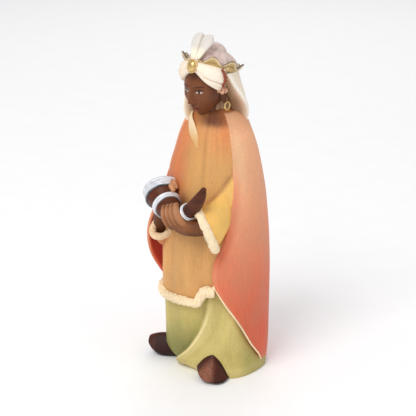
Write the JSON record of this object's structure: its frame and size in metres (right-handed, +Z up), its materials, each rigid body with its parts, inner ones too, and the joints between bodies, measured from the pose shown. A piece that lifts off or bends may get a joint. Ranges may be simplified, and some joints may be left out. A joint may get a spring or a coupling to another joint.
{
  "type": "nativity wise man figurine",
  "caption": "Standing robed king in turban and crown, holding a banded drinking horn in both hands, carved and painted as one solid piece on a flat underside.",
  "frame": {"origin": "on the flat underside, on the upright axis through the middle of the gown", "axes": "+Z up, the figure faces -Y and its left hand is at +X"},
  "size_m": [0.0698, 0.071, 0.2],
  "materials": {
    "painted_wood": "satin stain and paint on carved wood",
    "gilding": "gold leaf on carved wood",
    "silvering": "silver leaf on carved wood"
  },
  "bodies": {
    "root": {"wise_man_figurine": "painted_wood"}
  },
  "joints": []
}
